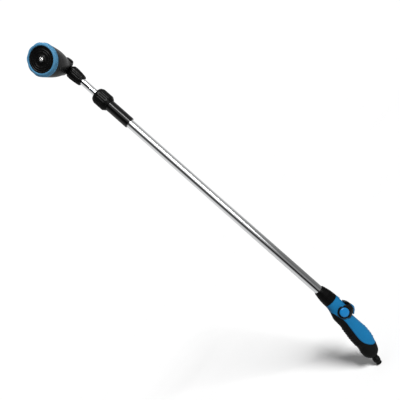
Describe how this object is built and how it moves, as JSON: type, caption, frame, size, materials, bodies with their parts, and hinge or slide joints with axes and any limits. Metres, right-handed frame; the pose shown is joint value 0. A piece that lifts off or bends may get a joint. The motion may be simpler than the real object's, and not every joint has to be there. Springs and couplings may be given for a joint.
{
  "type": "telescopic watering wand",
  "caption": "Telescopic garden watering wand with a thumb valve grip, twist-lock tube and pivoting spray head with a turning pattern dial.",
  "frame": {"origin": "centre of the hose plug's open end", "axes": "+Z along the tube towards the spray head, +X towards the thumb side of the grip, +Y to the grip's side"},
  "size_m": [0.0787, 0.1214, 0.9653],
  "materials": {
    "handle_blue": "satin moulded",
    "soft_black": "matt soft-touch",
    "black_plastic": "fine moulded grain",
    "gloss_black": "semi-gloss",
    "bright_tube": "polished",
    "cap_blue": "gloss",
    "dial_blue": "satin moulded",
    "natural_nylon": "natural",
    "seal_rubber": "smooth",
    "bright_steel": "bright",
    "valve_brass": "turned"
  },
  "bodies": {
    "handle": {"handle_shell": "handle_blue", "soft_grip": "soft_black", "nose_collar": "black_plastic", "tube_seal": "seal_rubber", "outer_tube": "bright_tube", "lock_sleeve": "black_plastic", "split_collet": "natural_nylon", "gland_seal": "seal_rubber", "valve_liner": "natural_nylon", "spool_seals": "seal_rubber", "hose_plug": "black_plastic", "inlet_insert": "natural_nylon", "inlet_washer": "seal_rubber", "filter_screen": "bright_steel", "flow_pipe": "natural_nylon"},
    "twist_collar": {"twist_collar": "black_plastic"},
    "slide_carriage": {"piston_bush": "natural_nylon", "piston_seal": "seal_rubber"},
    "inner_tube": {"inner_tube": "bright_tube", "tube_clips": "bright_steel", "pivot_neck": "black_plastic", "neck_seal": "seal_rubber", "pivot_seals": "seal_rubber"},
    "head": {"head_housing": "black_plastic", "pivot_pin": "valve_brass", "pivot_caps": "black_plastic", "port_seal": "seal_rubber", "port_spring": "bright_steel", "detent_ball": "bright_steel", "detent_spring": "bright_steel", "dial_seal": "seal_rubber", "centre_screw": "bright_steel", "screw_washer": "bright_steel"},
    "dial": {"dial_ring": "dial_blue", "spray_face": "black_plastic", "pattern_plate": "black_plastic", "pattern_spacer": "black_plastic"},
    "thumb_valve": {"thumb_lever": "gloss_black", "thumb_pad": "handle_blue", "lever_caps": "cap_blue", "lever_screws": "bright_steel", "valve_spool": "valve_brass"}
  },
  "joints": [
    {"name": "collar_twist", "type": "hinge", "parent": "handle", "child": "twist_collar", "pos_m": [0.0312, 0, 0.82], "axis": [0, 0, 1], "range_deg": [0, 120]},
    {"name": "tube_slide", "type": "slide", "parent": "handle", "child": "slide_carriage", "axis": [0, 0, 1], "range_m": [-0.035, 0.5]},
    {"name": "tube_turn", "type": "hinge", "parent": "slide_carriage", "child": "inner_tube", "pos_m": [0.0312, 0, 0.5], "axis": [0, 0, 1], "continuous": true},
    {"name": "head_tilt", "type": "hinge", "parent": "inner_tube", "child": "head", "pos_m": [0.0312, 0, 0.927], "axis": [0.9668, -0.2554, 0], "range_deg": [-175, 5]},
    {"name": "pattern_dial", "type": "hinge", "parent": "head", "child": "dial", "pos_m": [0.00823, -0.08694, 0.93061], "axis": [-0.2552, -0.966, 0.0401], "continuous": true},
    {"name": "thumb_valve", "type": "hinge", "parent": "handle", "child": "thumb_valve", "pos_m": [0.0312, 0, 0.1362], "axis": [0, -1, 0], "range_deg": [0, 40]}
  ]
}
